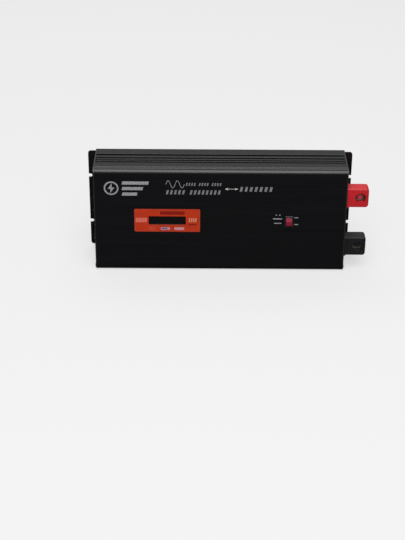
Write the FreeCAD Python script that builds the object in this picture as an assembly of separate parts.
"""Power inverter and charger in a two-piece extruded case, standing on one long side.

Frame: +X towards the battery terminals, +Y towards the mounting base, +Z up.  The lid faces -Y.
The origin is the middle of the plane that the case stands on.  All lengths are in millimetres.
A depth is a distance behind the lid's outer face, and a place is a depth and a height.
"""
import FreeCAD, Part
import math
import os

V = FreeCAD.Vector
X_AXIS = V(1, 0, 0)
Y_AXIS = V(0, 1, 0)
Z_AXIS = V(0, 0, 1)

# ---- case ---------------------------------------------------------------------------------
SHELL_LENGTH = 440.0  # X, over both end panels
SHELL_DEPTH = 94.0  # Y, lid face to mounting face
SHELL_HEIGHT = 196.0  # Z
LID_CORNER = 9.0
BACK_CORNER = 7.0
PANEL_THICKNESS = 2.0
LID_WALL = 2.5
BASE_WALL = 3.0
SIDE_WALL = 8.5  # solid ribbed wall of both extrusions
POCKET_WALL = 3.5  # the same wall where it is relieved behind the lid
POCKET_END = 28.5  # depth at which that relief stops
SEAM_DEPTH = 63.5  # joint between cover and base
TONGUE = (1.0, 2.5, 2.0)  # start and end inside the wall, reach across the seam
TONGUE_GAP = 0.1
EDGE_ROUND = 0.6

# each groove's start depth, end depth, and how deep it is cut
GROOVES = ((30.5, 35.5, 4.5), (38.5, 43.5, 4.5), (47.5, 53.5, 4.5), (60.0, 67.0, 5.0))
FINE_GROOVE_AT = 11.5
FINE_GROOVE_RADIUS = 1.8
FINE_GROOVE_CUT = 1.2

FLANGE_REACH = 235.0  # the base plate runs past the panels to here, both ways
FLANGE_MARGIN = 5.5
FLANGE_CORNER = 5.0
NOTCH_X = 232.0
NOTCH_SPACING = 90.0
NOTCH_RADIUS = 3.5

PORT_RADIUS = 3.9  # screw ports inside the four long corners
PORT_CORE = 1.75
COVER_PORT_INSET = 6.8
BASE_PORT_INSET = 6.5

# ---- screws: head radius, head height, shank radius, length ---------------------------------
PANEL_SCREW = (3.4, 1.2, 1.75, 14.0)
FAN_SCREW = (3.4, 2.0, 1.75, 18.0)
FITTING_SCREW = (2.6, 1.4, 1.45, 8.0)
HOUSING_SCREW = (3.0, 1.8, 1.3, 9.0)
BOARD_SCREW = (2.8, 1.8, 1.25, 8.0)
SCREW_CROWN = 0.45  # share of a head's height that is rounded off
CROSS_RECESS = (0.5, 0.62, 0.13)  # depth, reach and half width, as shares of the head
HOLE_CLEARANCE = 0.3

# ---- lid fittings ---------------------------------------------------------------------------
LABEL = (-150.0, -35.0, 77.0, 121.0)  # x0, x1, z0, z1
LABEL_THICKNESS = 0.25
LABEL_CORNER = 2.5
WINDOW = (-125.0, -60.0, 91.0, 107.0)
WINDOW_CORNER = 1.0
LENS_LIP = (3.0, 1.2)  # overlap round the window, thickness
LENS_RISE = 0.9
LENS_GAP = 0.2
DISPLAY_GLASS = (1.0, 2.0, 5.0)  # overlap in X and Z, thickness
DISPLAY_BOARD = (6.0, 8.0, 1.6)

# rocker switch, drawn facing -Y with its centre on the panel's outer face
MODE_SWITCH_AT = (120.5, 98.0)  # x, z
BEZEL = (15.0, 21.0, 2.0)  # X, Z, thickness
BEZEL_CORNER = 1.5
BEZEL_ROUND = 0.5
SWITCH_BODY = (12.9, 19.1, 13.0)
SWITCH_WELL = (10.9, 17.2, 6.5)
SWITCH_CUTOUT = (13.2, 19.4)
ROCKER_WIDTH = 10.6
ROCKER_HALF = 7.6
ROCKER_TILT = 11.0  # degrees each way from level
ROCKER_PIVOT = 1.0  # behind the panel's face
ROCKER_RISE = 4.6  # pivot to the ridge in the middle of the rocker's face
ROCKER_SHOULDER = 0.5
ROCKER_KEEL = (2.6, 3.5)  # depth behind the face, half width
PIVOT_RADIUS = 1.0
PIVOT_REACH = 5.9
RUNNING_CLEARANCE = 0.05
TAB = (4.8, 8.0, 0.8)  # width, length, thickness
TAB_PITCH = 7.0

# ---- battery end ----------------------------------------------------------------------------
TERMINALS = {"positive": 141.6, "negative": 47.6}  # heights
HOUSING_REACH = 38.0
HOUSING_DEPTHS = (4.0, 29.0)
HOUSING_HEIGHT = 34.0
HOUSING_END_ROUND = 5.0
HOUSING_EDGE_ROUND = 1.2
RIM = (3.0, 1.2, 1.5, 2.0)  # thickness, overhang in Y and Z, corner radius
LUG_SLOT = (10.0, 19.0, 22.0, 8.0)  # depths, width, wall left at the panel
RECESS_RADIUS = 9.5
BOLT_WELL = (3.6, 2.6)  # radius and depth of the blind hole behind the busbar
BOLT_X = 243.5
BOLT_RADIUS = 3.0  # M6
BOLT_LENGTH = 10.0
BOLT_HEAD = (10.0, 4.0)  # across flats, height
BOLT_CHAMFER = (0.82, 0.49)  # radii of the cone at the head's foot and top, as shares of the flats
WASHER = (6.0, 1.6)
BUSBAR_DEPTHS = (19.0, 25.0)
BUSBAR_WIDTH = 20.0
BUSBAR_FOOT = (184.0, 188.0)  # X limits of the leg that stands on the power board
BUSBAR_END_WALL = 1.2
HOUSING_SCREW_DEPTH = 8.0
HOUSING_SCREW_OFFSET = 11.0

FANS = {"upper": 130.0, "lower": 66.0}  # heights
FAN_SIZE = 60.0
FAN_THICKNESS = 25.0
FAN_CENTRE = 60.5  # depth
FAN_CORNER = 3.0
FAN_BORE = 28.5
FAN_PITCH = 25.0  # half the spacing of the screw holes
FAN_HOLE = 2.2
FAN_STRUT = 3.0
BEARING = (4.0, 14.0)  # outer radius, length
SHAFT = (1.5, 2.0, 1.0)  # radius, reach behind the hub, how far it stops short of the hub's front
HUB_RADIUS = 13.5
HUB_WALL = 1.5
HUB_X = (5.0, 1.5)  # distances from the frame's rear and front
FAN_BLADES = 7
BLADE_TIP = 27.5
BLADE_THICKNESS = 1.4
BLADE_ANGLE = 38.0
GUARD_RINGS = (9.0, 15.0, 21.0, 27.0)
GUARD_WIRE = 1.6
GUARD_EYE = (3.4, 2.0)
GUARD_GAP = 0.1

# ---- mains end --------------------------------------------------------------------------------
OUTLETS = {"upper": (47.0, 150.0), "lower": (47.0, 98.0)}
OUTLET_FACE = (50.0, 2.2, 4.0, 0.8)  # square size, thickness, corner radius, edge round
OUTLET_BODY = (21.5, 32.0)  # radius, depth behind the panel
OUTLET_WELL = (19.5, 17.5)
PIN_SPACING = 19.0
PIN_HOLE = (2.7, 2.0)
SLEEVE_POCKET = (3.7, 11.0)
SLEEVE = (3.6, 2.4, 10.0)  # outer radius, inner radius, length
EARTH_SLOT = (17.5, 20.7, 2.6)  # nearest and furthest from the centre, half width
EARTH_CLIP = (18.9, 20.3, 2.2)
EARTH_REACH = (11.0, 3.5)  # in front of and behind the well's floor
CONTACT_PLAY = 0.5  # room at the ends of the sleeves and the earth clips
OUTLET_SCREWS = ((-21.5, -21.5), (21.5, 21.5))

INLET = (47.0, 56.0)
INLET_FLANGE = (25.0, 12.0, 2.5, 7.0, 0.6)  # half sizes, thickness, corner radius, edge round
INLET_BODY = (13.7, 10.0, 18.0)  # half sizes, depth behind the panel
INLET_WELL = (12.2, 8.3, 16.5, 4.0)  # half sizes, depth, corner cut
INLET_PINS = ((-7.0, -2.0), (0.0, 2.0), (7.0, -2.0))
INLET_PIN = (1.0, 2.0, 3.0, 26.0)  # half sizes, set back from the face, reach behind the panel
INLET_SCREW = 20.0

LEDS = {"power": (81.0, 124.0), "fault": (81.0, 114.0)}
LED = (2.5, 1.0, 6.0)  # radius, how far its dome is sunk, length
LED_COLLAR = (3.0, 1.0)
POWER_SWITCH_AT = (81.0, 150.0)

BREAKER = (76.0, 26.0)
BREAKER_CASE = (-7.5, 6.5, -12.0, 14.0, 26.0)  # Y and Z limits about its axis, depth
BREAKER_NECK = (5.5, 6.0)
BREAKER_NUT = (14.0, 2.6)
BREAKER_BUTTON = (3.4, 8.0, 20.0, 0.8)  # radius, reach outside, length, edge round
BREAKER_BORE = 22.0

GROUND = (80.0, 78.0)
STUD = (2.5, 10.0, 22.0, 0.5)  # M5 radius, reach outside, length, chamfer
STUD_NUT = (8.0, 4.0)
STUD_WASHER = (5.0, 1.0)

# ---- inside the case --------------------------------------------------------------------------
BOARD = (-184.0, 190.0, 13.0, 183.0)  # x0, x1, z0, z1
BOARD_DEPTH = 80.9  # of its component side
BOARD_THICKNESS = 1.6
STANDOFFS_X = (-170.0, -40.0, 60.0, 178.0)
STANDOFFS_Z = (28.0, 168.0)
STANDOFF_FLATS = 6.0
TRANSFORMERS_X = (20.0, 60.0, 100.0, 140.0)
TRANSFORMERS_Z = (70.0, 126.0)
CORE = (12.0, 42.0, 34.0, 6.0)  # X, Z, height, thickness of its limbs
COIL = (28.0, 29.0, 21.0, 4.0)  # X, Z, height, corner radius
INPUT_CAPACITORS = (167.0, (34.0, 52.0, 70.0, 126.0, 144.0, 162.0), 8.0, 32.0)  # x, z, radius, height
BUS_CAPACITORS = ((-70.0, -36.0), (78.0, 118.0), 15.0, 40.0)
FUSES = (172.0, (84.0, 91.0, 98.0, 105.0, 112.0), (19.0, 5.0, 19.0))  # x, z, size
RELAYS = ((-150.0, -115.0), 52.0, (28.0, 13.0, 20.0))
CONTROL_BOARD = (-20.0, 20.0, 30.0, 50.0)  # x0, x1, z, height
CHIP = (-10.0, 4.0, 24.0, 38.0, 2.0)  # x0, x1, lowest, highest, thickness
CHOKE = (-130.0, 140.0)
CHOKE_RING = (19.0, 11.0, 14.0, 3.0)  # outer and inner radius, height, gap to the board
CHOKE_TURN = (8.9, 0.8)
CHOKE_TURNS = 20
TRANSISTORS_X = [-60.0 + 18.0 * i for i in range(10)]
TRANSISTOR = (10.2, 63.9, 78.9, 4.4)  # width, depths, thickness
TRANSISTOR_LEADS = (6.0, 3.2, 4.2)  # width, nearest and furthest from the wall pad
PAD = (12.0, 1.0, 0.2)  # overhang in X and Y, thickness
CLAMP = (14.0, 2.0, 10.0, 2.0)  # overhang in X, start and end from the transistors' top, thickness

LID_Y = -SHELL_DEPTH / 2
BACK_Y = SHELL_DEPTH / 2
MID_Z = SHELL_HEIGHT / 2
PANEL_OUT = SHELL_LENGTH / 2
PANEL_IN = PANEL_OUT - PANEL_THICKNESS
BOARD_Y = LID_Y + BOARD_DEPTH
BEYOND = 1.0  # how far a cutter runs past what it cuts, or a piece into the one it joins
TOLERANCE = 1e-5


# ---- helpers ------------------------------------------------------------------------------
def block(x0, x1, y0, y1, z0, z1):
    return Part.makeBox(x1 - x0, y1 - y0, z1 - z0, V(x0, y0, z0))


def plate(x0, x1, depth0, depth1, z0, z1):
    """A block whose y limits are depths behind the lid face."""
    return block(x0, x1, LID_Y + depth0, LID_Y + depth1, z0, z1)


def centred(x0, x1, y, z, half_y, half_z):
    """A block about an axis along X."""
    return block(x0, x1, y - half_y, y + half_y, z - half_z, z + half_z)


def rod(axis, start, radius, length):
    return Part.makeCylinder(radius, length, V(*start), axis)


def tube(axis, start, outer, inner, length):
    return rod(axis, start, outer, length).cut(rod(axis, start, inner, length))


def hexagon(axis, start, across_flats, length):
    """A hexagonal prism from start along an axis."""
    radius = across_flats / math.sqrt(3)
    angles = [math.radians(60 * i) for i in range(7)]
    corners = [V(radius * math.cos(angle), radius * math.sin(angle), 0) for angle in angles]
    prism = Part.Face(Part.makePolygon(corners)).extrude(V(0, 0, length))
    prism.Placement = FreeCAD.Placement(V(*start), FreeCAD.Rotation(Z_AXIS, axis))
    return prism


def nut(axis, start, across_flats, length, bore):
    return hexagon(axis, start, across_flats, length).cut(rod(axis, start, bore, length))


def prism_x(x0, x1, outline):
    """A prism along X; the outline is a closed list of (y, z)."""
    wire = Part.makePolygon([V(x0, y, z) for y, z in outline])
    return Part.Face(wire).extrude(V(x1 - x0, 0, 0))


def edges_along(shape, axis):
    """The straight edges that run along an axis."""
    found = []
    for edge in shape.Edges:
        if isinstance(edge.Curve, Part.Line) and abs(abs(edge.Curve.Direction.dot(axis)) - 1) < TOLERANCE:
            found.append(edge)
    return found


def edges_at(shape, axis, value):
    """The edges that lie in the plane at this value along an axis."""
    return [edge for edge in shape.Edges if abs(edge.CenterOfMass.dot(axis) - value) < TOLERANCE]


def rounded(shape, axis, radius):
    """The shape with every edge along the axis rounded."""
    return shape.makeFillet(radius, edges_along(shape, axis))


def rounded_at(shape, axis, value, radius):
    """The shape with the rim of one flat face rounded."""
    return shape.makeFillet(radius, edges_at(shape, axis, value))


def fused(shapes):
    return shapes[0].multiFuse(shapes[1:]).removeSplitter()


def both_sides(shapes):
    """The shapes and their mirror images on the other long side of the case."""
    return shapes + [shape.mirror(V(0, 0, MID_Z), Z_AXIS) for shape in shapes]


def screw(outward, start, size):
    """A pan-head screw with a cross recess, its head seated at start and facing outward."""
    head_radius, head_height, radius, length = size
    head = rod(outward, start, head_radius, head_height)
    head = rounded_at(head, outward, V(*start).dot(outward) + head_height, head_height * SCREW_CROWN)
    shank = rod(outward * -1, start, radius, length)
    return fused([head, shank]).cut(cross_recess(outward, start, head_radius, head_height))


def cross_recess(outward, start, head_radius, head_height):
    """The two crossed slots in the top of a screw's head."""
    across = Y_AXIS if abs(outward.dot(X_AXIS)) > 0.5 else X_AXIS
    other = outward.cross(across)
    depth_share, reach_share, width_share = CROSS_RECESS
    floor = V(*start) + outward * (head_height * (1 - depth_share))
    arm = head_radius * reach_share
    half = head_radius * width_share
    slots = []
    for along, beside in ((across, other), (other, across)):
        corners = [floor + along * (a * arm) + beside * (b * half)
                   for a, b in ((-1, -1), (1, -1), (1, 1), (-1, 1), (-1, -1))]
        slots.append(Part.Face(Part.makePolygon(corners)).extrude(outward * head_height))
    return slots


def save(name, shapes):
    """One file per sub-part; a group of like pieces stays a group of separate solids."""
    solids = [solid for shape in shapes for solid in shape.Solids]
    whole = solids[0] if len(solids) == 1 else Part.makeCompound(solids)
    whole.exportStep("parts/" + name + ".step")


# ---- case ---------------------------------------------------------------------------------
def envelope(half_length):
    """The rounded outer block of the case, without its ribs."""
    whole = block(-half_length, half_length, LID_Y, BACK_Y, 0, SHELL_HEIGHT)
    edges = edges_along(whole, X_AXIS)
    whole = whole.makeFillet(LID_CORNER, [edge for edge in edges if edge.CenterOfMass.y < 0])
    edges = edges_along(whole, X_AXIS)
    return whole.makeFillet(BACK_CORNER, [edge for edge in edges
                                          if edge.CenterOfMass.y > BACK_Y - TOLERANCE])


def length_of_case(depth0, depth1, z0, z1):
    """A full-length bar of the extrusions."""
    return plate(-PANEL_IN, PANEL_IN, depth0, depth1, z0, z1)


def groove_cutters():
    """Everything that is cut into the two ribbed side walls."""
    top = SHELL_HEIGHT + BEYOND
    cutters = [length_of_case(start, end, SHELL_HEIGHT - deep, top) for start, end, deep in GROOVES]
    centre_z = SHELL_HEIGHT + FINE_GROOVE_RADIUS - FINE_GROOVE_CUT
    cutters.append(rod(X_AXIS, (-PANEL_IN, LID_Y + FINE_GROOVE_AT, centre_z), FINE_GROOVE_RADIUS,
                       2 * PANEL_IN))
    return both_sides(cutters)


def soften_ribs(shape):
    """Rounds the lips of the grooves, where they meet the outer flats."""
    lips = []
    for edge in edges_along(shape, X_AXIS):
        point = edge.CenterOfMass
        depth = point.y - LID_Y
        on_flat = min(abs(point.z), abs(point.z - SHELL_HEIGHT)) < TOLERANCE
        if on_flat and GROOVES[0][0] - BEYOND < depth < GROOVES[-1][1] + BEYOND:
            lips.append(edge)
    return shape.makeFillet(EDGE_ROUND, lips)


def port_places(inset, depth):
    return [(depth, inset), (depth, SHELL_HEIGHT - inset)]


COVER_PORTS = port_places(COVER_PORT_INSET, COVER_PORT_INSET)
BASE_PORTS = port_places(BASE_PORT_INSET, SHELL_DEPTH - BASE_PORT_INSET)


def along_case(places, radius):
    """Full-length round bars for the screw ports and their cores."""
    return [rod(X_AXIS, (-PANEL_IN, LID_Y + depth, height), radius, 2 * PANEL_IN)
            for depth, height in places]


def with_ports(shell, places):
    return fused([shell] + along_case(places, PORT_RADIUS)).cut(along_case(places, PORT_CORE))


def cover_extrusion():
    """Lid and the nearer part of both sides, with the slot that takes the base's tongue."""
    inner_top = SHELL_HEIGHT - SIDE_WALL
    start, end, reach = TONGUE
    slot = length_of_case(SEAM_DEPTH - reach - TONGUE_GAP, SEAM_DEPTH, inner_top + start - TONGUE_GAP,
                          inner_top + end + TONGUE_GAP)
    shell = envelope(PANEL_IN).common(length_of_case(0, SEAM_DEPTH, 0, SHELL_HEIGHT))
    hollow = length_of_case(LID_WALL, SEAM_DEPTH, SIDE_WALL, inner_top)
    pocket = length_of_case(LID_WALL, POCKET_END, POCKET_WALL, SHELL_HEIGHT - POCKET_WALL)
    shell = soften_ribs(shell.cut([hollow, pocket] + groove_cutters() + both_sides([slot])))
    return with_ports(shell, COVER_PORTS).cut([window_opening(LID_WALL + BEYOND), mode_switch_cutout()])


def window_opening(end_depth):
    x0, x1, z0, z1 = WINDOW
    return rounded(plate(x0, x1, -BEYOND, end_depth, z0, z1), Y_AXIS, WINDOW_CORNER)


def mode_switch_cutout():
    x, z = MODE_SWITCH_AT
    wide, tall = SWITCH_CUTOUT
    return plate(x - wide / 2, x + wide / 2, -BEYOND, LID_WALL + BEYOND, z - tall / 2, z + tall / 2)


def base_extrusion():
    """Mounting plate with its notched flanges, and the further part of both sides."""
    inner_top = SHELL_HEIGHT - SIDE_WALL
    floor = SHELL_DEPTH - BASE_WALL
    start, end, reach = TONGUE
    shell = envelope(PANEL_IN).common(length_of_case(SEAM_DEPTH, SHELL_DEPTH, 0, SHELL_HEIGHT))
    hollow = length_of_case(SEAM_DEPTH, floor, SIDE_WALL, inner_top)
    shell = soften_ribs(shell.cut([hollow] + groove_cutters()))
    tongue = length_of_case(SEAM_DEPTH - reach, SEAM_DEPTH, inner_top + start, inner_top + end)
    flange = rounded(base_plate(FLANGE_REACH), Y_AXIS, FLANGE_CORNER)
    return with_ports(fused([shell, flange] + both_sides([tongue])), BASE_PORTS).cut(notches())


def base_plate(half_length):
    """The slab of the mounting plate that lies between the case's rounded corners."""
    return plate(-half_length, half_length, SHELL_DEPTH - BASE_WALL, SHELL_DEPTH, FLANGE_MARGIN,
                 SHELL_HEIGHT - FLANGE_MARGIN)


def notches():
    """The four open-ended screw notches in the mounting flanges."""
    near = SHELL_DEPTH - BASE_WALL - BEYOND
    far = SHELL_DEPTH + BEYOND
    cutters = []
    for side in (-1, 1):
        x0, x1 = sorted((side * NOTCH_X, side * (FLANGE_REACH + BEYOND)))
        for z in (MID_Z - NOTCH_SPACING / 2, MID_Z + NOTCH_SPACING / 2):
            cutters.append(plate(x0, x1, near, far, z - NOTCH_RADIUS, z + NOTCH_RADIUS))
            cutters.append(rod(Y_AXIS, (side * NOTCH_X, LID_Y + near, z), NOTCH_RADIUS, far - near))
    return cutters


def panel_hole(side, place, radius):
    """A round cutter through the end panel on one side."""
    depth, height = place
    start = (min(side * PANEL_IN, side * PANEL_OUT), LID_Y + depth, height)
    return rod(X_AXIS, start, radius, PANEL_THICKNESS)


def blank_panel(side):
    """A flat end panel with its four corner screw holes."""
    x0, x1 = sorted((side * PANEL_IN, side * PANEL_OUT))
    panel = envelope(PANEL_OUT).common(plate(x0, x1, 0, SHELL_DEPTH, 0, SHELL_HEIGHT))
    radius = PANEL_SCREW[2] + HOLE_CLEARANCE
    holes = [panel_hole(side, place, radius) for place in COVER_PORTS + BASE_PORTS]
    return panel.cut([base_plate(PANEL_OUT)] + holes)


def dc_end_panel():
    """The panel with the two fans and both battery terminals."""
    near, far = BUSBAR_DEPTHS
    gap = HOLE_CLEARANCE
    half = BUSBAR_WIDTH / 2 + gap
    cutters = []
    for height in FANS.values():
        cutters.append(panel_hole(1, (FAN_CENTRE, height), FAN_BORE - gap))
        cutters += [panel_hole(1, (FAN_CENTRE + y, height + z), FAN_SCREW[2] + gap)
                    for y, z in fan_corners()]
    for height in TERMINALS.values():
        cutters.append(plate(PANEL_IN, PANEL_OUT, near - gap, far + gap, height - half, height + half))
        cutters += [panel_hole(1, place, HOUSING_SCREW[2] + gap) for place in housing_screw_places(height)]
    return blank_panel(1).cut(cutters)


def ac_end_panel():
    """The panel with the mains outlets, the charger's inlet and the controls."""
    gap = HOLE_CLEARANCE
    cutters = []
    for depth, height in OUTLETS.values():
        cutters.append(panel_hole(-1, (depth, height), OUTLET_BODY[0] + gap))
        cutters += [panel_hole(-1, (depth + y, height + z), FITTING_SCREW[2] + gap)
                    for y, z in OUTLET_SCREWS]
    depth, height = INLET
    cutters.append(centred(-PANEL_OUT, -PANEL_IN, LID_Y + depth, height, INLET_BODY[0] + gap,
                           INLET_BODY[1] + gap))
    cutters += [panel_hole(-1, (depth + y, height), FITTING_SCREW[2] + gap)
                for y in (-INLET_SCREW, INLET_SCREW)]
    depth, height = POWER_SWITCH_AT
    cutters.append(centred(-PANEL_OUT, -PANEL_IN, LID_Y + depth, height, SWITCH_CUTOUT[0] / 2,
                           SWITCH_CUTOUT[1] / 2))
    cutters.append(panel_hole(-1, BREAKER, BREAKER_NECK[0] + gap))
    cutters.append(panel_hole(-1, GROUND, STUD[0] + gap))
    cutters += [panel_hole(-1, place, LED[0] + gap) for place in LEDS.values()]
    return blank_panel(-1).cut(cutters)


def end_panel_screws():
    return [screw(X_AXIS * side, (side * PANEL_OUT, LID_Y + depth, height), PANEL_SCREW)
            for side in (-1, 1) for depth, height in COVER_PORTS + BASE_PORTS]


# ---- lid fittings -------------------------------------------------------------------------
def lid_label():
    x0, x1, z0, z1 = LABEL
    label = rounded(plate(x0, x1, -LABEL_THICKNESS, 0, z0, z1), Y_AXIS, LABEL_CORNER)
    return label.cut(window_opening(BEYOND))


def display_window():
    """Smoked lens behind the lid, with a raised centre that stops short of the lid's face."""
    x0, x1, z0, z1 = WINDOW
    over, thick = LENS_LIP
    lip = plate(x0 - over, x1 + over, LID_WALL, LID_WALL + thick, z0 - over, z1 + over)
    centre = plate(x0 + LENS_GAP, x1 - LENS_GAP, LID_WALL - LENS_RISE, LID_WALL, z0 + LENS_GAP,
                   z1 - LENS_GAP)
    return fused([lip, rounded(centre, Y_AXIS, WINDOW_CORNER - LENS_GAP)])


def display_module():
    """Display glass on its own small board."""
    x0, x1, z0, z1 = WINDOW
    layers = []
    depth = LID_WALL + LENS_LIP[1]
    for over_x, over_z, thick in (DISPLAY_GLASS, DISPLAY_BOARD):
        layers.append(plate(x0 - over_x, x1 + over_x, depth, depth + thick, z0 - over_z, z1 + over_z))
        depth += thick
    return fused(layers)


def about_centre(size, y0, y1):
    """A block centred on the switch's axis."""
    wide, tall = size[:2]
    return block(-wide / 2, wide / 2, y0, y1, -tall / 2, tall / 2)


def switch_body():
    """Snap-in body: bezel, box behind the panel, and the well and bearing of the rocker."""
    thick = BEZEL[2]
    bezel = rounded_at(rounded(about_centre(BEZEL, -thick, 0), Y_AXIS, BEZEL_CORNER), Y_AXIS, -thick,
                       BEZEL_ROUND)
    body = fused([bezel, about_centre(SWITCH_BODY, 0, SWITCH_BODY[2])])
    well = about_centre(SWITCH_WELL, -thick, SWITCH_WELL[2])
    reach = PIVOT_REACH + RUNNING_CLEARANCE
    bearing = rod(X_AXIS, (-reach, ROCKER_PIVOT, 0), PIVOT_RADIUS + RUNNING_CLEARANCE, 2 * reach)
    return body.cut([well, bearing])


def switch_rocker():
    """The rocker with its upper half pressed; it turns about its two stub pins."""
    ridge = ROCKER_PIVOT - ROCKER_RISE
    tip = ridge + ROCKER_HALF * math.tan(math.radians(ROCKER_TILT))
    keel, half_keel = ROCKER_KEEL
    outline = [(ridge, 0), (tip, ROCKER_HALF), (ROCKER_SHOULDER, ROCKER_HALF), (keel, half_keel),
               (keel, -half_keel), (ROCKER_SHOULDER, -ROCKER_HALF), (tip, -ROCKER_HALF), (ridge, 0)]
    rocker = prism_x(-ROCKER_WIDTH / 2, ROCKER_WIDTH / 2, outline)
    touched = [edge for edge in rocker.Edges
               if edge.CenterOfMass.y < tip + TOLERANCE and abs(edge.CenterOfMass.z) > TOLERANCE]
    rocker = rocker.makeFillet(BEZEL_ROUND, touched)
    pins = rod(X_AXIS, (-PIVOT_REACH, ROCKER_PIVOT, 0), PIVOT_RADIUS, 2 * PIVOT_REACH)
    rocker = fused([rocker, pins])
    rocker.rotate(V(0, ROCKER_PIVOT, 0), X_AXIS, -ROCKER_TILT)
    return rocker


def switch_tabs(count):
    """The blade terminals behind a switch."""
    wide, long, thick = TAB
    start = SWITCH_BODY[2]
    heights = [TAB_PITCH * (i - (count - 1) / 2) for i in range(count)]
    return [block(-wide / 2, wide / 2, start, start + long, z - thick / 2, z + thick / 2)
            for z in heights]


def on_lid(shape):
    placed = shape.copy()
    placed.translate(V(MODE_SWITCH_AT[0], LID_Y, MODE_SWITCH_AT[1]))
    return placed


def on_ac_panel(shape):
    placed = shape.copy()
    placed.rotate(V(0, 0, 0), Z_AXIS, -90)
    placed.translate(V(-PANEL_OUT, LID_Y + POWER_SWITCH_AT[0], POWER_SWITCH_AT[1]))
    return placed


# ---- mains end ----------------------------------------------------------------------------
def outlet(depth, height):
    """A round-well two-pole socket with slots for its side earth clips."""
    size, thick, corner, edge_round = OUTLET_FACE
    y = LID_Y + depth
    face = -PANEL_OUT - thick
    bezel = rounded(centred(face, -PANEL_OUT, y, height, size / 2, size / 2), X_AXIS, corner)
    bezel = rounded_at(bezel, X_AXIS, face, edge_round)
    body = fused([bezel, rod(X_AXIS, (-PANEL_OUT, y, height), *OUTLET_BODY)])
    floor = face + OUTLET_WELL[1]
    cutters = [rod(X_AXIS, (face, y, height), *OUTLET_WELL)]
    for side in (-1, 1):
        hole_y = y + side * PIN_SPACING / 2
        cutters.append(rod(X_AXIS, (floor, hole_y, height), *PIN_HOLE))
        cutters.append(rod(X_AXIS, (floor + PIN_HOLE[1], hole_y, height), *SLEEVE_POCKET))
        cutters.append(earth_bar(floor, y, height, side, EARTH_SLOT, CONTACT_PLAY))
    cutters += [rod(X_AXIS, (face, y + a, height + b), FITTING_SCREW[2] + HOLE_CLEARANCE, thick)
                for a, b in OUTLET_SCREWS]
    return body.cut(cutters)


def earth_bar(floor, y, height, side, size, longer):
    """A bar across the well's floor level, above or below its centre."""
    near, far, half = size
    z0, z1 = sorted((height + side * near, height + side * far))
    front, behind = EARTH_REACH
    return block(floor - front - longer, floor + behind + longer, y - half, y + half, z0, z1)


def outlet_contacts():
    """Brass sleeves behind the pin holes and the earth clips beside the well."""
    outer, inner, length = SLEEVE
    floor = -PANEL_OUT - OUTLET_FACE[1] + OUTLET_WELL[1]
    start = floor + PIN_HOLE[1] + CONTACT_PLAY
    pieces = []
    for depth, height in OUTLETS.values():
        y = LID_Y + depth
        for side in (-1, 1):
            pieces.append(tube(X_AXIS, (start, y + side * PIN_SPACING / 2, height), outer, inner, length))
            pieces.append(earth_bar(floor, y, height, side, EARTH_CLIP, 0))
    return pieces


def mains_inlet():
    """Three-pole appliance inlet with its screw flange."""
    half_y, half_z, thick, corner, edge_round = INLET_FLANGE
    y = LID_Y + INLET[0]
    z = INLET[1]
    face = -PANEL_OUT - thick
    flange = rounded(centred(face, -PANEL_OUT, y, z, half_y, half_z), X_AXIS, corner)
    flange = rounded_at(flange, X_AXIS, face, edge_round)
    rear = -PANEL_OUT + INLET_BODY[2]
    body = fused([flange, centred(-PANEL_OUT, rear, y, z, INLET_BODY[0], INLET_BODY[1])])
    wide, tall, deep, cut = INLET_WELL
    outline = [(y - wide, z - tall), (y + wide, z - tall), (y + wide, z + tall - cut),
               (y + wide - cut, z + tall), (y - wide + cut, z + tall), (y - wide, z + tall - cut),
               (y - wide, z - tall)]
    holes = [rod(X_AXIS, (face, y + side * INLET_SCREW, z), FITTING_SCREW[2] + HOLE_CLEARANCE, thick)
             for side in (-1, 1)]
    slots = [centred(face + deep, rear, y + a, z + b, INLET_PIN[0], INLET_PIN[1]) for a, b in INLET_PINS]
    return body.cut([prism_x(face, face + deep, outline)] + holes + slots)


def mains_inlet_pins():
    half_y, half_z, set_back, reach = INLET_PIN
    start = -PANEL_OUT - INLET_FLANGE[2] + set_back
    return [centred(start, -PANEL_OUT + reach, LID_Y + INLET[0] + a, INLET[1] + b, half_y, half_z)
            for a, b in INLET_PINS]


def ac_fitting_screws():
    """The screws that hold the outlets and the inlet to their panel."""
    screws = []
    for depth, height in OUTLETS.values():
        for a, b in OUTLET_SCREWS:
            start = (-PANEL_OUT - OUTLET_FACE[1], LID_Y + depth + a, height + b)
            screws.append(screw(X_AXIS * -1, start, FITTING_SCREW))
    for a in (-INLET_SCREW, INLET_SCREW):
        start = (-PANEL_OUT - INLET_FLANGE[2], LID_Y + INLET[0] + a, INLET[1])
        screws.append(screw(X_AXIS * -1, start, FITTING_SCREW))
    return screws


def led(depth, height):
    """A domed status light with the collar that stops it behind the panel."""
    radius, sunk, length = LED
    start = (-PANEL_OUT + sunk, LID_Y + depth, height)
    collar = rod(X_AXIS, (-PANEL_IN, LID_Y + depth, height), *LED_COLLAR)
    return fused([rod(X_AXIS, start, radius, length), Part.makeSphere(radius, V(*start)), collar])


def breaker_body():
    y0, y1, z0, z1, deep = BREAKER_CASE
    y = LID_Y + BREAKER[0]
    z = BREAKER[1]
    radius, reach = BREAKER_NECK
    case = block(-PANEL_IN, -PANEL_IN + deep, y + y0, y + y1, z + z0, z + z1)
    neck = rod(X_AXIS, (-PANEL_OUT - reach, y, z), radius, reach + PANEL_THICKNESS)
    bore = rod(X_AXIS, (-PANEL_OUT - reach, y, z), BREAKER_BUTTON[0] + RUNNING_CLEARANCE, BREAKER_BORE)
    return fused([case, neck]).cut(bore)


def breaker_nut():
    flats, thick = BREAKER_NUT
    start = (-PANEL_OUT - thick, LID_Y + BREAKER[0], BREAKER[1])
    return nut(X_AXIS, start, flats, thick, BREAKER_NECK[0])


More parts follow.
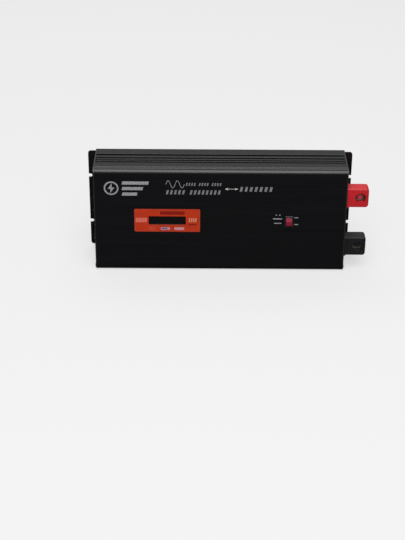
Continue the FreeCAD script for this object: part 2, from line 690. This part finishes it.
def breaker_button():
    """The reset button, pushed home."""
    radius, reach, length, edge_round = BREAKER_BUTTON
    tip = -PANEL_OUT - reach
    button = rod(X_AXIS, (tip, LID_Y + BREAKER[0], BREAKER[1]), radius, length)
    return rounded_at(button, X_AXIS, tip, edge_round)


def ground_stud():
    radius, reach, length, chamfer = STUD
    start = -PANEL_OUT - reach
    stud = rod(X_AXIS, (start, LID_Y + GROUND[0], GROUND[1]), radius, length)
    return stud.makeChamfer(chamfer, edges_at(stud, X_AXIS, start) + edges_at(stud, X_AXIS, start + length))


def ground_nuts():
    """Two hexagon nuts and a washer that clamp the stud through the panel."""
    y = LID_Y + GROUND[0]
    z = GROUND[1]
    flats, thick = STUD_NUT
    washer_x = -PANEL_OUT - STUD_WASHER[1]
    return [nut(X_AXIS, (washer_x - thick, y, z), flats, thick, STUD[0]),
            tube(X_AXIS, (washer_x, y, z), STUD_WASHER[0], STUD[0], STUD_WASHER[1]),
            nut(X_AXIS, (-PANEL_IN, y, z), flats, thick, STUD[0])]


# ---- battery end --------------------------------------------------------------------------
def housing_screw_places(height):
    return [(HOUSING_SCREW_DEPTH, height + z) for z in (-HOUSING_SCREW_OFFSET, HOUSING_SCREW_OFFSET)]


def terminal_housing(height):
    """Insulated block: a cable lug goes in at the end and is clamped through the round recess."""
    near, far = HOUSING_DEPTHS
    half = HOUSING_HEIGHT / 2
    tip = PANEL_OUT + HOUSING_REACH
    body = plate(PANEL_OUT, tip, near, far, height - half, height + half)
    body = rounded_at(body, X_AXIS, tip, HOUSING_END_ROUND)
    body = rounded(body, X_AXIS, HOUSING_EDGE_ROUND)
    thick, over_y, over_z, corner = RIM
    rim = plate(PANEL_OUT, PANEL_OUT + thick, near - over_y, far + over_y, height - half - over_z,
                height + half + over_z)
    body = fused([body, rounded(rim, X_AXIS, corner)])
    slot_near, slot_far, slot_width, wall = LUG_SLOT
    slot = plate(PANEL_OUT + wall, tip, slot_near, slot_far, height - slot_width / 2,
                 height + slot_width / 2)
    bar_near, bar_far = BUSBAR_DEPTHS
    bar_half = BUSBAR_WIDTH / 2
    bar = plate(PANEL_OUT, tip - BUSBAR_END_WALL, bar_near, bar_far, height - bar_half, height + bar_half)
    recess = rod(Y_AXIS, (BOLT_X, LID_Y + near, height), RECESS_RADIUS, slot_near - near + BEYOND)
    well = rod(Y_AXIS, (BOLT_X, LID_Y + bar_far, height), *BOLT_WELL)
    screws = [rod(X_AXIS, (PANEL_OUT, LID_Y + depth, z), HOUSING_SCREW[2], HOUSING_SCREW[3])
              for depth, z in housing_screw_places(height)]
    return body.cut([slot, bar, recess, well] + screws)


def busbar(height):
    """Plated bar from the bolt, over the fans and back to the power board."""
    near, far = BUSBAR_DEPTHS
    half = BUSBAR_WIDTH / 2
    x0, x1 = BUSBAR_FOOT
    end = PANEL_OUT + HOUSING_REACH - BUSBAR_END_WALL
    bar = plate(x0, end, near, far, height - half, height + half)
    leg = plate(x0, x1, near, BOARD_DEPTH, height - half, height + half)
    thread = rod(Y_AXIS, (BOLT_X, LID_Y + near, height), BOLT_RADIUS + RUNNING_CLEARANCE, far - near)
    return fused([bar, leg]).cut(thread)


def bolt_seat(height):
    return (BOLT_X, LID_Y + BUSBAR_DEPTHS[0] - WASHER[1], height)


def terminal_bolt(height):
    """Hexagon bolt; the cone takes the corners off the top of its head."""
    flats, tall = BOLT_HEAD
    seat = bolt_seat(height)
    head = hexagon(Y_AXIS * -1, seat, flats, tall)
    foot, top = BOLT_CHAMFER
    crown = Part.makeCone(flats * foot, flats * top, tall, V(*seat), Y_AXIS * -1)
    return fused([head.common(crown), rod(Y_AXIS, seat, BOLT_RADIUS, BOLT_LENGTH)])


def terminal_washer(height):
    radius, thick = WASHER
    return tube(Y_AXIS, bolt_seat(height), radius, BOLT_RADIUS + 2 * RUNNING_CLEARANCE, thick)


def terminal_screws():
    """Screws driven from inside the case into both terminal housings."""
    return [screw(X_AXIS * -1, (PANEL_IN, LID_Y + depth, z), HOUSING_SCREW)
            for height in TERMINALS.values() for depth, z in housing_screw_places(height)]


def fan_corners():
    return [(y, z) for y in (-FAN_PITCH, FAN_PITCH) for z in (-FAN_PITCH, FAN_PITCH)]


def fan_frame(height):
    """Square frame with a round duct, and the bearing tube on its four struts."""
    half = FAN_SIZE / 2
    y = LID_Y + FAN_CENTRE
    back = PANEL_IN - FAN_THICKNESS
    frame = rounded(centred(back, PANEL_IN, y, height, half, half), X_AXIS, FAN_CORNER)
    frame = frame.cut(rod(X_AXIS, (back, y, height), FAN_BORE, FAN_THICKNESS))
    reach = FAN_BORE + BEYOND
    struts = [centred(back, back + FAN_STRUT, y, height, reach, FAN_STRUT / 2),
              centred(back, back + FAN_STRUT, y, height, FAN_STRUT / 2, reach)]
    disc = rod(X_AXIS, (back, y, height), HUB_RADIUS, FAN_STRUT)
    frame = fused([frame, disc, rod(X_AXIS, (back, y, height), *BEARING)] + struts)
    holes = [rod(X_AXIS, (back, y + a, height + b), FAN_HOLE, FAN_THICKNESS) for a, b in fan_corners()]
    bore = rod(X_AXIS, (back + FAN_STRUT - BEYOND, y, height), SHAFT[0] + RUNNING_CLEARANCE, BEARING[1])
    return frame.cut(holes + [bore])


def fan_rotor(height):
    """Hub cup, shaft and skewed blades of one fan."""
    y = LID_Y + FAN_CENTRE
    rear = PANEL_IN - FAN_THICKNESS + HUB_X[0]
    front = PANEL_IN - HUB_X[1]
    deep = front - rear
    cup = rod(X_AXIS, (rear, y, height), HUB_RADIUS, deep)
    cup = cup.cut(rod(X_AXIS, (rear, y, height), HUB_RADIUS - HUB_WALL, deep - HUB_WALL))
    radius, behind, short = SHAFT
    shaft = rod(X_AXIS, (rear - behind, y, height), radius, deep + behind - short)
    swept = tube(X_AXIS, (rear, y, height), BLADE_TIP, HUB_RADIUS - HUB_WALL / 2, deep)
    blades = []
    for i in range(FAN_BLADES):
        blade = block(rear, front, y - BLADE_THICKNESS / 2, y + BLADE_THICKNESS / 2,
                      height + HUB_RADIUS - BEYOND, height + BLADE_TIP + BEYOND)
        blade.rotate(V((rear + front) / 2, y, height), Z_AXIS, BLADE_ANGLE)
        blade.rotate(V(0, y, height), X_AXIS, 360.0 * i / FAN_BLADES)
        blades.append(blade.common(swept))
    return fused([cup, shaft] + blades)


def fan_guard(height):
    """Finger guard: rings on a cross, with an eye at each screw."""
    y = LID_Y + FAN_CENTRE
    x = PANEL_OUT + GUARD_GAP
    wire = GUARD_WIRE
    ring_x = x + wire - 2 * GUARD_GAP
    rings = [tube(X_AXIS, (ring_x, y, height), radius + wire / 2, radius - wire / 2, wire)
             for radius in GUARD_RINGS]
    eye, hole = GUARD_EYE
    reach = FAN_PITCH * math.sqrt(2) - (eye + hole) / 2
    arms = []
    for turn in (45, 135):
        arm = centred(x, x + wire, y, height, wire / 2, reach)
        arm.rotate(V(x, y, height), X_AXIS, turn)
        arms.append(arm)
    eyes = [tube(X_AXIS, (x, y + a, height + b), eye, hole, wire) for a, b in fan_corners()]
    return fused(arms + rings + eyes)


def fan_screws():
    start_x = PANEL_OUT + GUARD_GAP + GUARD_WIRE
    return [screw(X_AXIS, (start_x, LID_Y + FAN_CENTRE + a, height + b), FAN_SCREW)
            for height in FANS.values() for a, b in fan_corners()]


# ---- inside the case ----------------------------------------------------------------------
def standing(x, z, radius, tall):
    """A round part that stands on the power board and points at the lid."""
    return rod(Y_AXIS * -1, (x, BOARD_Y, z), radius, tall)


def resting(x, z, size, lift=0.0):
    """A square part on the power board, or lifted off it."""
    wide, high, tall = size
    top = BOARD_Y - lift
    return block(x - wide / 2, x + wide / 2, top - tall, top, z - high / 2, z + high / 2)


def standoff_places():
    return [(x, z) for x in STANDOFFS_X for z in STANDOFFS_Z]


def main_board():
    x0, x1, z0, z1 = BOARD
    board = plate(x0, x1, BOARD_DEPTH, BOARD_DEPTH + BOARD_THICKNESS, z0, z1)
    radius = BOARD_SCREW[2] + HOLE_CLEARANCE
    return board.cut([rod(Y_AXIS, (x, BOARD_Y, z), radius, BOARD_THICKNESS) for x, z in standoff_places()])


def board_standoffs():
    top = BOARD_Y + BOARD_THICKNESS
    length = BACK_Y - BASE_WALL - top
    return [nut(Y_AXIS, (x, top, z), STANDOFF_FLATS, length, BOARD_SCREW[2]) for x, z in standoff_places()]


def board_screws():
    return [screw(Y_AXIS * -1, (x, BOARD_Y, z), BOARD_SCREW) for x, z in standoff_places()]


def transformer_places():
    return [(x, z) for x in TRANSFORMERS_X for z in TRANSFORMERS_Z]


def transformer_cores():
    """Ferrite cores of the step-up transformers: an outer frame and a middle leg."""
    wide, high, tall, limb = CORE
    cores = []
    for x, z in transformer_places():
        window = resting(x, z, (wide, high - 2 * limb, tall - 2 * limb), limb)
        leg = resting(x, z, (wide, 2 * limb, tall - 2 * limb), limb)
        cores.append(fused([resting(x, z, (wide, high, tall)).cut(window), leg]))
    return cores


def transformer_windings():
    """Each coil, wound round the middle leg of its core."""
    wide, high, tall, corner = COIL
    lift = CORE[3] + RUNNING_CLEARANCE
    leg = (CORE[0] + 4 * RUNNING_CLEARANCE, 2 * CORE[3] + 4 * RUNNING_CLEARANCE, tall)
    return [rounded(resting(x, z, (wide, high, tall), lift), Y_AXIS, corner).cut(resting(x, z, leg, lift))
            for x, z in transformer_places()]


def input_capacitors():
    x, heights, radius, tall = INPUT_CAPACITORS
    return [standing(x, z, radius, tall) for z in heights]


def bus_capacitors():
    places_x, heights, radius, tall = BUS_CAPACITORS
    return [standing(x, z, radius, tall) for x in places_x for z in heights]


def blade_fuses():
    x, heights, size = FUSES
    return [resting(x, z, size) for z in heights]


def transfer_relays():
    places_x, z, size = RELAYS
    return [resting(x, z, size) for x in places_x]


def control_board():
    """The daughter board that stands on edge, with its controller chip."""
    x0, x1, z, tall = CONTROL_BOARD
    board = block(x0, x1, BOARD_Y - tall, BOARD_Y, z, z + BOARD_THICKNESS)
    chip_x0, chip_x1, low, high, thick = CHIP
    surface = z + BOARD_THICKNESS
    return fused([board, block(chip_x0, chip_x1, BOARD_Y - high, BOARD_Y - low, surface, surface + thick)])


def output_choke_core():
    outer, inner, tall, gap = CHOKE_RING
    return tube(Y_AXIS * -1, (CHOKE[0], BOARD_Y - gap, CHOKE[1]), outer, inner, tall)


def output_choke_winding():
    """Copper turns wound round the ring, each a closed loop about its section."""
    outer, inner, tall, gap = CHOKE_RING
    y = BOARD_Y - gap - tall / 2
    turns = []
    for i in range(CHOKE_TURNS):
        turn = Part.makeTorus(*CHOKE_TURN, V(CHOKE[0] + (outer + inner) / 2, y, CHOKE[1]), Z_AXIS)
        turn.rotate(V(CHOKE[0], y, CHOKE[1]), Y_AXIS, 360.0 * i / CHOKE_TURNS)
        turns.append(turn)
    return turns


def transistor_top():
    """Height of the transistors' faces, under the insulating pad of the upper wall."""
    return SHELL_HEIGHT - SIDE_WALL - PAD[2]


def mosfets():
    """Power transistors in a row along the inside of both side walls, with their leads."""
    wide, near, far, thick = TRANSISTOR
    lead_width, lead_near, lead_far = TRANSISTOR_LEADS
    top = transistor_top()
    row = []
    for x in TRANSISTORS_X:
        body = plate(x - wide / 2, x + wide / 2, near, far, top - thick, top)
        leads = plate(x - lead_width / 2, x + lead_width / 2, far, BOARD_DEPTH, top - lead_far,
                      top - lead_near)
        row.append(fused([body, leads]))
    return both_sides(row)


def insulator_pads():
    over_x, over_y, thick = PAD
    near, far = TRANSISTOR[1:3]
    top = SHELL_HEIGHT - SIDE_WALL
    return both_sides([plate(TRANSISTORS_X[0] - over_x, TRANSISTORS_X[-1] + over_x, near - over_y,
                             far + over_y, top - thick, top)])


def mosfet_clamps():
    """Spring-steel bars that press each row of transistors to the wall."""
    over, start, end, thick = CLAMP
    near = TRANSISTOR[1]
    top = transistor_top() - TRANSISTOR[3]
    return both_sides([plate(TRANSISTORS_X[0] - over, TRANSISTORS_X[-1] + over, near + start, near + end,
                             top - thick, top)])


# ---- write every sub-part -------------------------------------------------------------------
def save_case():
    save("cover_extrusion", [cover_extrusion()])
    save("base_extrusion", [base_extrusion()])
    save("dc_end_panel", [dc_end_panel()])
    save("ac_end_panel", [ac_end_panel()])
    save("end_panel_screws", end_panel_screws())


def save_lid_fittings():
    save("lid_label", [lid_label()])
    save("display_window", [display_window()])
    save("display_module", [display_module()])
    save("mode_switch_body", [on_lid(switch_body())])
    save("mode_rocker", [on_lid(switch_rocker())])
    tabs = [on_lid(tab) for tab in switch_tabs(3)]
    save("switch_tabs", tabs + [on_ac_panel(tab) for tab in switch_tabs(2)])


def save_mains_end():
    for name, place in OUTLETS.items():
        save(name + "_outlet", [outlet(*place)])
    save("outlet_contacts", outlet_contacts())
    save("mains_inlet", [mains_inlet()])
    save("mains_inlet_pins", mains_inlet_pins())
    save("ac_fitting_screws", ac_fitting_screws())
    save("power_switch_body", [on_ac_panel(switch_body())])
    save("power_rocker", [on_ac_panel(switch_rocker())])
    for name, place in LEDS.items():
        save(name + "_led", [led(*place)])
    save("breaker_body", [breaker_body()])
    save("breaker_nut", [breaker_nut()])
    save("breaker_button", [breaker_button()])
    save("ground_stud", [ground_stud()])
    save("ground_nuts", ground_nuts())


def save_battery_end():
    for name, height in TERMINALS.items():
        save(name + "_terminal_housing", [terminal_housing(height)])
        save(name + "_busbar", [busbar(height)])
        save(name + "_bolt", [terminal_bolt(height)])
        save(name + "_washer", [terminal_washer(height)])
    save("terminal_screws", terminal_screws())
    for name, height in FANS.items():
        save(name + "_fan_frame", [fan_frame(height)])
        save(name + "_fan_rotor", [fan_rotor(height)])
        save(name + "_fan_guard", [fan_guard(height)])
    save("fan_screws", fan_screws())


def save_inside():
    save("main_board", [main_board()])
    save("board_standoffs", board_standoffs())
    save("board_screws", board_screws())
    save("control_board", [control_board()])
    save("transformer_cores", transformer_cores())
    save("transformer_windings", transformer_windings())
    save("input_capacitors", input_capacitors())
    save("bus_capacitors", bus_capacitors())
    save("blade_fuses", blade_fuses())
    save("transfer_relays", transfer_relays())
    save("output_choke_core", [output_choke_core()])
    save("output_choke_winding", output_choke_winding())
    save("mosfets", mosfets())
    save("mosfet_clamps", mosfet_clamps())
    save("insulator_pads", insulator_pads())


os.makedirs("parts", exist_ok=True)
save_case()
save_lid_fittings()
save_mains_end()
save_battery_end()
save_inside()
